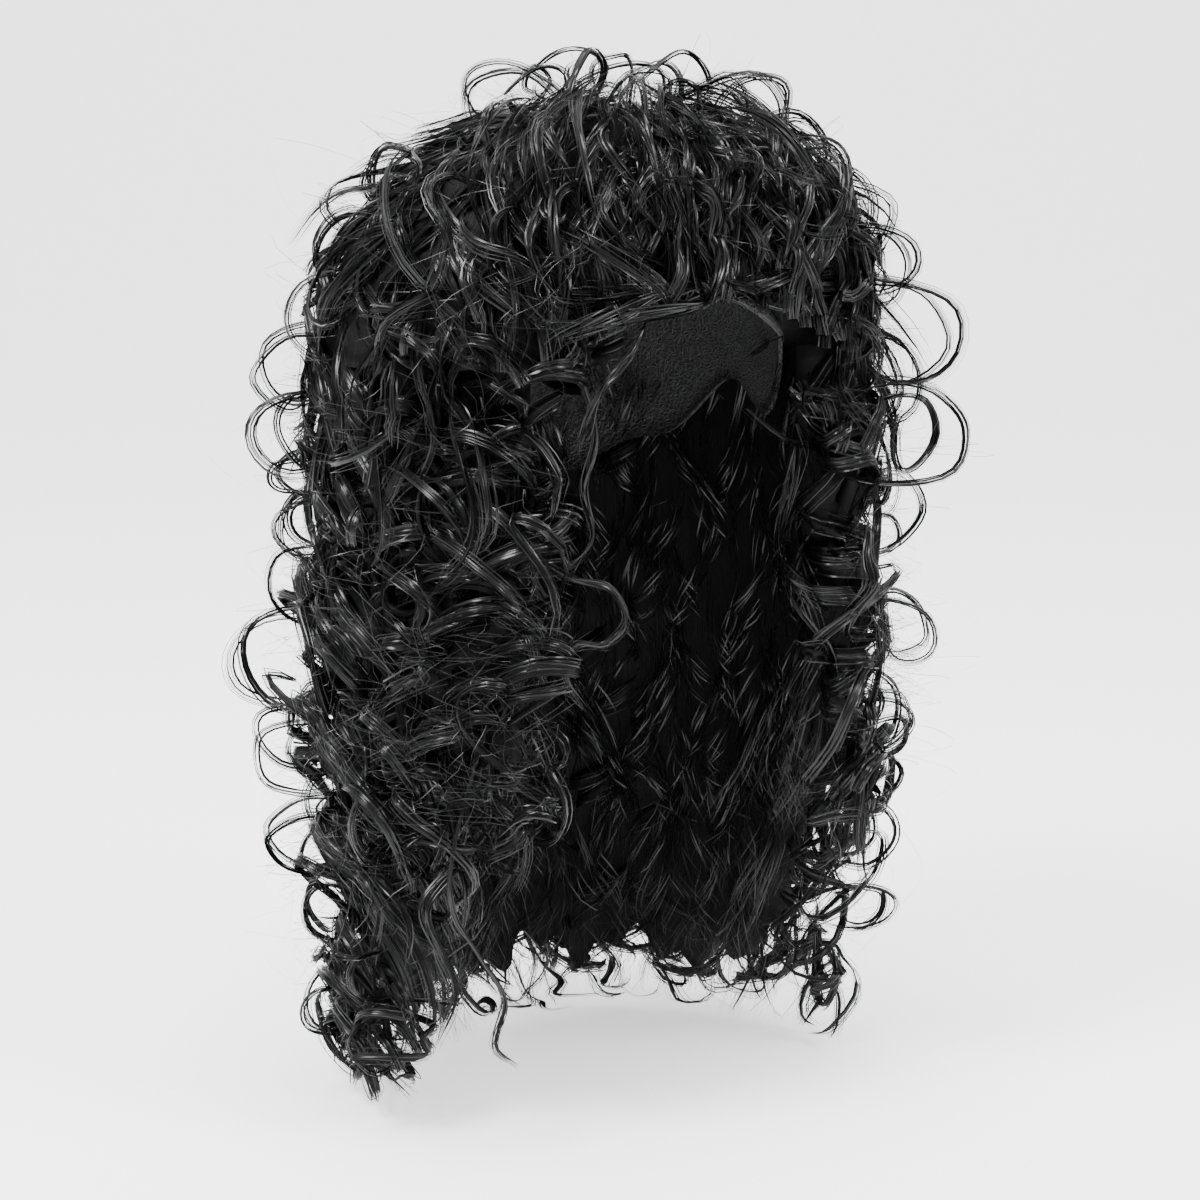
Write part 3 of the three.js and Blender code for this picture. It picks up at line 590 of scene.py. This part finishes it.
def loop_rule(rng, rows, k=30):
    """Rule for loops of hair that come out of the mass, turn round and end inside themselves or go back in."""
    rows = np.array(rows, float)
    n = len(rows)
    twist = rng.normal(0, 16, n)
    facing = polar(rows[:, 0] + twist, 1.0, 0.0)[:, None]
    spread = np.where(rows[:, 2] > 25, 26.0, 7.0)
    middle = polar(rows[:, 0], rows[:, 1], rows[:, 2])
    middle = (middle + polar(rows[:, 0] + 90, rng.normal(0, 1, n) * spread, 0.0))[:, None]
    tip_up = np.clip((rows[:, 2] + 60) / 90, 0, 1)[:, None, None] * rng.uniform(0.2, 1.0, (n, 1, 1))
    upright = np.array([0.0, 0.0, 1.0])
    facing = unit(facing * (1 - 0.7 * tip_up) + upright * 0.8 * tip_up)
    depth = polar(rows[:, 0] + twist + 90, 1.0, 0.0)[:, None]
    upright = unit(np.cross(depth, facing))
    upright = upright * np.sign(upright[..., 2:] + 1e-6)
    hook = rng.random(n) < 0.6
    shape = np.where(hook[:, None, None], np.array(HOOK)[None], np.array(ARCH)[None])
    shape = shape * rng.uniform(0.8, 1.2, (n, 1, 2)) + rng.normal(0, 0.09, shape.shape)
    shape[..., 1] = shape[..., 1] * rng.choice([1.0, 1.0, -1.0], (n, 1))
    curves = np.stack([rounded(one, k) for one in shape]) * rows[:, 3, None, None]
    t = np.linspace(0, 1, k)[None]
    swing = rng.uniform(-14, 14, (n, 1))

    def rule(shift, scale, count):
        pick = np.repeat(np.arange(n), count // n)
        flat = curves[pick] * (1 + (scale - 1) * (0.4 + 1.2 * t))[..., None]
        out = unit(flat[..., :1] * facing[pick] + flat[..., 1:] * upright[pick])
        drift = depth[pick] * (swing[pick] * (t - 0.4) + 1.1 * shift)[..., None]
        point = middle[pick] + flat[..., :1] * facing[pick] + flat[..., 1:] * upright[pick] + drift
        return point, out

    return rule


def loops(hair):
    rng = np.random.default_rng(61)
    rows = np.repeat(np.array(LOOPS), 2, 0)
    rows = rows + rng.normal(0, 1, rows.shape) * (5.0, 3.0, 3.0, 1.5) + (0.0, -3.0, 0.0, 0.0)
    bundle(hair, rng, loop_rule(rng, rows), len(rows), 13, 2.1, loose=0.8, core=0.45, flat=0.6, thicken=1.35)
    around = rng.uniform(FIRST_AROUND + 4, 360 - FIRST_AROUND - 4, RANDOM_LOOPS)
    level = rng.uniform(-425, 34, RANDOM_LOOPS)
    size = rng.uniform(7, 19, RANDOM_LOOPS)
    level = np.maximum(level, lowest(around) + 18)
    around = np.where(level > -30, rng.uniform(-180, 180, RANDOM_LOOPS), around)
    lean = lean_at(np.maximum(level, -FOOT))
    dome = np.linalg.norm(surface(around, lean, 0 * lean)[0][:, :2], axis=-1)
    reach = np.where(level > -FOOT, dome, body_radius(around, level))
    rows = np.stack([around, reach - 10, level, size], 1)
    bundle(hair, rng, loop_rule(rng, rows), RANDOM_LOOPS, 12, 1.7, loose=0.9, core=0.4, flat=0.6, thicken=1.25)


# Loose tendrils beside the face and over the shoulders: points across, forwards and down, in millimetres.
TENDRILS = {
    "brow_wisp": (0.9, ((-12, 92, 44), (-30, 88, 54), (-42, 92, 69), (-56, 89, 85), (-62, 84, 103), (-66, 80, 118))),
    "temple_curl": (1.4, ((-66, 76, 80), (-60, 77, 89), (-55, 79, 111), (-60, 77, 134), (-55, 77, 156),
                          (-64, 75, 170), (-72, 70, 176))),
    "cheek_curl": (1.8, ((-76, 64, 168), (-66, 76, 176), (-50, 84, 181), (-43, 86, 196), (-52, 84, 207),
                         (-68, 84, 206), (-74, 84, 220), (-66, 87, 236))),
    "chest_curl": (2.2, ((-88, 50, 225), (-96, 54, 262), (-92, 50, 290), (-106, 50, 308), (-129, 51, 330),
                         (-121, 51, 356), (-116, 54, 376), (-128, 56, 398))),
    "chest_wisp": (0.8, ((-90, 54, 225), (-116, 58, 292), (-122, 62, 328), (-110, 64, 352), (-97, 66, 376),
                         (-103, 68, 398), (-92, 70, 410))),
    "shoulder_wisp": (0.9, ((84, 54, 225), (84, 69, 276), (92, 66, 300), (86, 67, 322), (94, 66, 342))),
}


def tendrils(hair):
    rng = np.random.default_rng(71)
    for width, rows in TENDRILS.values():
        line = spline([(x, -fore, -down) for x, fore, down in rows], 44)[None]

        def rule(shift, scale, count):
            points = np.repeat(line, count, 0)
            t = np.linspace(0, 1, points.shape[1])
            wave = wander(rng, count, len(t), 1.0)[..., None] * (0.4 + t[:, None]) * 2.0
            out = unit(points * [1, 1, 0] + [0, 0, 30])
            if count > 1:
                points = points + out * wave + np.roll(out, 1, -1) * wave[::-1] * 0.7
            return points, out

        bundle(hair, rng, rule, 1, 16, width, loose=1.4, core=0.8, flat=0.7)


FLYAWAYS = 2100


def flyaways(hair):
    """Single fine hairs that stand out all over."""
    rng = np.random.default_rng(81)
    n, k = FLYAWAYS, 12
    around = rng.uniform(FIRST_AROUND - 2, 360 - FIRST_AROUND + 2, n)
    lean = rng.uniform(4, 265, n)
    foot = 90 + (-lowest(around) - FOOT) / LEVEL_PER_DEGREE
    lean = np.minimum(lean, foot - rng.uniform(12, 60, n))
    around = np.where(lean < 60, rng.uniform(-180, 180, n), around)
    t = np.linspace(0, 1, k)[None]
    length = rng.uniform(20, 55, (n, 1))
    a = around[:, None] + wander(rng, n, k, 7.0, 0.8)
    down = lean[:, None] + length * t * rng.uniform(-0.3, 0.9, (n, 1))
    stand = -6 + rng.gamma(2.0, 6.0, (n, 1)) * np.sin(np.pi * np.minimum(t * 1.1, 1)) + wander(rng, n, k, 3.0)
    points, out = surface(a, down, stand)
    half = rng.uniform(0.09, 0.17, (n, 1)) * (1.05 - t)
    hair.strips(points, out, half, rng)


def camera():
    azimuth, elevation, distance = math.radians(-30.0), math.radians(11.5), 1.640
    target = Vector((-0.005, 0.003, -0.206))
    back = Vector((math.sin(azimuth) * math.cos(elevation), -math.cos(azimuth) * math.cos(elevation), math.sin(elevation)))
    data = bpy.data.cameras.new("camera")
    data.lens = 100.0
    data.sensor_width = 36.0
    data.clip_end = 50.0
    view = bpy.data.objects.new("camera", data)
    view.location = target + back * distance
    view.rotation_euler = (target - view.location).to_track_quat("-Z", "Y").to_euler()
    bpy.context.scene.collection.objects.link(view)
    bpy.context.scene.camera = view
    return azimuth


def stage(azimuth):
    """Pale floor that curves up into a backdrop behind the wig."""
    material, nodes, links, shader = new_material("stage_paint")
    shader.inputs["Base Color"].default_value = (0.92, 0.92, 0.925, 1)
    shader.inputs["Roughness"].default_value = 0.9
    shader.inputs["Emission Color"].default_value = (1, 1, 1, 1)
    shader.inputs["Emission Strength"].default_value = 0.7
    half, depth, bend = 6.0, 2.2, 1.2
    profile = [(-4.0, 0.0), (depth, 0.0)]
    steps = 16
    for i in range(1, steps + 1):
        a = math.pi / 2 * i / steps
        profile.append((depth + bend * math.sin(a), bend - bend * math.cos(a)))
    profile.append((depth + bend, 6.0))
    ahead = (math.sin(-azimuth), math.cos(azimuth))
    side = (math.cos(azimuth), -math.sin(-azimuth))
    verts, faces = [], []
    for along, up in profile:
        for across in (-half, half):
            verts.append((ahead[0] * along + side[0] * across, ahead[1] * along + side[1] * across, FLOOR * MM + up))
    for i in range(len(profile) - 1):
        faces.append((2 * i, 2 * i + 1, 2 * i + 3, 2 * i + 2))
    mesh = bpy.data.meshes.new("stage_floor")
    mesh.from_pydata(verts, [], faces)
    mesh.materials.append(material)
    mesh.shade_smooth()
    floor = bpy.data.objects.new("stage_floor", mesh)
    bpy.context.scene.collection.objects.link(floor)


def area_light(name, azimuth, elevation, distance, size, power):
    a, e = math.radians(azimuth), math.radians(elevation)
    target = Vector((0, 0, -0.15))
    data = bpy.data.lights.new(name, "AREA")
    data.shape = "DISK"
    data.size = size
    data.energy = power
    lamp = bpy.data.objects.new(name, data)
    lamp.location = target + distance * Vector((math.sin(a) * math.cos(e), -math.cos(a) * math.cos(e), math.sin(e)))
    lamp.rotation_euler = (target - lamp.location).to_track_quat("-Z", "Y").to_euler()
    bpy.context.scene.collection.objects.link(lamp)


def lights():
    world = bpy.data.worlds.new("studio")
    bpy.context.scene.world = world
    world.use_nodes = True
    world.node_tree.nodes["Background"].inputs["Color"].default_value = (1, 1, 1, 1)
    world.node_tree.nodes["Background"].inputs["Strength"].default_value = 1.5
    area_light("key", -75, 50, 2.2, 0.8, 100)
    area_light("fill", 30, 38, 2.4, 0.9, 55)
    area_light("top", -30, 84, 2.0, 0.9, 50)


def grid_faces(grid, flip):
    quads = np.stack([grid[:-1, :-1], grid[1:, :-1], grid[1:, 1:], grid[:-1, 1:]], -1).reshape(-1, 4)
    return (quads[:, ::-1] if flip else quads).tolist()


def fan(ring, middle):
    return [[middle, int(ring[i]), int(ring[i + 1])] for i in range(len(ring) - 1)]


def under_mass():
    """The dense hair under the curls: a closed, uneven wall from the crown down, open at the face, in the darkest tone
    and the dimmed lock material as painted shade behind the curls.
    """
    rng = np.random.default_rng(3)
    count, rows = 120, 44
    around = np.linspace(-FIRST_AROUND - 8, -360 + FIRST_AROUND + 8, count)
    share = np.linspace(0, 1, rows)
    bottom = -DROP * np.interp((np.arange(count) + 0.5) / count * len(GROUPS),
                               np.arange(len(GROUPS)) + 0.5, [min(t) for t in GROUP_TIPS]) + 24
    bottom = bottom + 7 * np.sin(np.arange(count) * 0.43) + 6 * np.sin(np.arange(count) * 1.07)
    a = np.repeat(around[:, None], rows, 1)
    z = -52 + (bottom[:, None] + 52) * share[None]
    ripple = 3.5 * np.sin(a * 0.55 + 0.09 * z) + 2.5 * np.sin(0.21 * z - a * 0.31) + rng.normal(0, 0.5, a.shape)
    outer = body_radius(a, z) - 31 + ripple
    head = CAP_HALF[0] + 5 + (CAP_HALF[1] - CAP_HALF[0]) * np.cos(np.radians(a)) ** 2
    shoulder = np.clip((-z - 105) / 185, 0, 1)
    inner = head + (100 - head) * np.clip(shoulder, 0, 1)
    inner = np.minimum(inner, outer - 6)
    shells = np.stack([polar(a, outer, z), polar(a, inner, z)])
    verts = shells.reshape(-1, 3)
    index = np.arange(count * rows).reshape(count, rows)
    inside = index + count * rows
    faces = grid_faces(index, False) + grid_faces(inside, True)
    faces += grid_faces(np.stack([index[:, 0], inside[:, 0]]), False)
    faces += grid_faces(np.stack([index[:, -1], inside[:, -1]]), True)
    faces += grid_faces(np.stack([index[0], inside[0]]), True)
    faces += grid_faces(np.stack([index[-1], inside[-1]]), False)
    return solid_piece("under_hair", verts, faces, a, z)


def solid_piece(name, verts, faces, a, z):
    mesh = bpy.data.meshes.new(name)
    mesh.from_pydata((verts * MM).tolist(), [], faces)
    layer = mesh.uv_layers.new(name="strand")
    flat = np.stack([np.tile(a.ravel() * 2.2, 2), np.tile(z.ravel(), 2)], -1)[: len(verts)]
    if len(flat) < len(verts):
        flat = np.concatenate([flat, np.zeros((len(verts) - len(flat), 2))])
    loops = np.zeros(len(mesh.loops), np.int32)
    mesh.loops.foreach_get("vertex_index", loops)
    layer.data.foreach_set("uv", (flat[loops] * MM * 10).ravel().astype(np.float32))
    # The inside hair takes the darkest tone and the dimmed lock material: painted shade, so it reads as shadow behind
    # the strands.
    tone = mesh.attributes.new("tone", "FLOAT", "POINT")
    tone.data.foreach_set("value", np.zeros(len(verts), np.float32))
    mesh.materials.append(LOCK_AND_SHADE)
    mesh.shade_smooth()
    piece = bpy.data.objects.new(name, mesh)
    bpy.context.scene.collection.objects.link(piece)
    return piece


def crown_mass():
    """The dense hair over the cap: a closed dome with an uneven outside, in the darkest tone and the dimmed lock
    material as painted shade under the crown's strands.
    """
    rng = np.random.default_rng(5)
    count, rings = 96, 26
    around = np.arange(count) / count * 360.0 - 180.0
    share = np.linspace(0.02, 1, rings)
    edge = lean_at(hairline(around))
    a = np.repeat(around[:, None], rings, 1)
    lean = edge[:, None] * share[None]
    stand = -17 + 2.5 * np.sin(a * 0.35 + lean * 0.2) + rng.normal(0, 1.3, a.shape)
    outer, _ = surface(a, lean, stand)
    floor_lean = np.degrees(np.arccos(np.clip((hairline(around) + CROWN_HEIGHT) / CROWN_HEIGHT, -1, 1)))
    inner_lean = floor_lean[:, None] * share[None]
    grow = CAP_WALL + 0.8
    zi = -CROWN_HEIGHT + (CROWN_HEIGHT + grow) * np.cos(np.radians(inner_lean))
    across = np.sin(np.radians(a)) / (CAP_HALF[0] + grow)
    ahead = np.cos(np.radians(a)) / (CAP_HALF[1] + grow)
    ri = np.sin(np.radians(inner_lean)) / np.hypot(across, ahead)
    inner = polar(a, ri, zi)
    far = np.linalg.norm(outer[..., :2], axis=-1) < ri + 3
    outer[far, :2] = (inner[far, :2] / np.maximum(ri[far], 1)[:, None]) * (ri[far] + 3)[:, None]
    verts = np.concatenate([outer.reshape(-1, 3), inner.reshape(-1, 3), [outer[:, 0].mean(0)], [inner[:, 0].mean(0)]])
    index = np.arange(count * rings).reshape(count, rings)
    index = np.concatenate([index, index[:1]])
    inside = index + count * rings
    faces = grid_faces(index, True) + grid_faces(inside, False)
    faces += grid_faces(np.stack([index[:, -1], inside[:, -1]], 1), False)
    faces += fan(index[:, 0], len(verts) - 2) + fan(inside[::-1, 0], len(verts) - 1)
    return solid_piece("crown_under_hair", verts, faces, a, lean * 2)


def cap_rim(around):
    a = np.abs(wrapped(around))
    i = np.clip(np.searchsorted(RIM_AROUND, a) - 1, 0, len(RIM_AROUND) - 2)
    start, end = np.array(RIM_AROUND)[i], np.array(RIM_AROUND)[i + 1]
    t = (a - start) / (end - start)
    t = t * t * (3 - 2 * t)
    return -CROWN_HEIGHT * (np.array(RIM_DOWN)[i] * (1 - t) + np.array(RIM_DOWN)[i + 1] * t)


def on_head(around, level, grow):
    """Point at a level on the head's form, grown by a distance."""
    rise = (level + CROWN_HEIGHT) / (CROWN_HEIGHT + grow)
    a = np.radians(around)
    flat = np.hypot(np.sin(a) / (CAP_HALF[0] + grow), np.cos(a) / (CAP_HALF[1] + grow))
    return polar(around, np.sqrt(np.maximum(0, 1 - rise * rise)) / flat, level)


def net_cap():
    """The thin cap with a smooth rim, as a closed wall."""
    count, rings = 96, 20
    around = np.arange(count) / count * 360.0 - 180.0
    a = np.repeat(around[:, None], rings, 1)
    share = np.linspace(0.01, 1, rings)[None]
    walls = []
    for grow in (CAP_WALL, CAP_FIT):
        foot = np.arccos(np.clip((cap_rim(around) + CROWN_HEIGHT) / (CROWN_HEIGHT + grow), -1, 1))
        level = -CROWN_HEIGHT + (CROWN_HEIGHT + grow) * np.cos(foot[:, None] * share)
        walls.append(on_head(a, level, grow))
    tops = [wall[:, 0].mean(0) for wall in walls]
    verts = np.concatenate([walls[0].reshape(-1, 3), walls[1].reshape(-1, 3), tops])
    index = np.arange(count * rings).reshape(count, rings)
    index = np.concatenate([index, index[:1]])
    inside = index + count * rings
    faces = grid_faces(index, True) + grid_faces(inside, False)
    faces += grid_faces(np.stack([index[:, -1], inside[:, -1]], 1), False)
    faces += fan(index[:, 0], len(verts) - 2) + fan(inside[::-1, 0], len(verts) - 1)
    mesh = bpy.data.meshes.new("cap_wall")
    mesh.from_pydata((verts * MM).tolist(), [], faces)
    mesh.materials.append(NET)
    mesh.shade_smooth()
    piece = bpy.data.objects.new("cap_wall", mesh)
    bpy.context.scene.collection.objects.link(piece)
    return piece


def rim_band():
    """The flat band sewn round the rim."""
    rng = np.random.default_rng(91)
    around = np.linspace(-180, 180, 181)[None]
    level = cap_rim(around) + BAND_HALF_HEIGHT
    points = on_head(around, level, CAP_WALL)
    out = unit(points - np.array([0.0, 0.0, -CROWN_HEIGHT]))
    one = np.ones(around.shape)
    band = Hair()
    band.locks(points, out, one * BAND_HALF_HEIGHT, one * BAND_HALF_THICK, rng, 8)
    return band.mesh("cap_band", (NET, NET))


azimuth = camera()
stage(azimuth)
lights()

finish_piece(net_cap(), "cap", slot="cap_net")
finish_piece(rim_band(), slot="cap_net")
finish_piece(under_mass())
finish_piece(crown_mass(), "crown_hair")

for index, name in enumerate(GROUPS):
    finish_piece(curl_group(index).mesh("hair_" + name, (STRAND, LOCK_AND_SHADE)), name)

front = Hair()
crown_front(front)
finish_piece(front.mesh("hair_crown_front", (STRAND, LOCK_AND_SHADE)), "fringe_right", "fringe_left")
sides = Hair()
crown_back(sides, 20, 170, 46, (12, 74), (34, 72), (0.6, 1.7), (9, 18), 4.6, (-16, -6), 10)
finish_piece(sides.mesh("hair_crown_sides", (STRAND, LOCK_AND_SHADE)))
top = Hair()
crown_back(top, 40, 60, 0, (2, 34), (22, 50), (0.7, 1.7), (7, 15), 3.0, (-12, 0), 12)
finish_piece(top.mesh("hair_crown_top", (STRAND, LOCK_AND_SHADE)))
loose = Hair()
loops(loose)
finish_piece(loose.mesh("hair_loops", (STRAND, LOCK_AND_SHADE)))
strays = Hair()
tendrils(strays)
finish_piece(strays.mesh("hair_tendrils", (STRAND, LOCK_AND_SHADE)), "temple_tendril", "cheek_curl")
fine = Hair()
flyaways(fine)
finish_piece(fine.mesh("hair_flyaways", (STRAND, LOCK_AND_SHADE)))
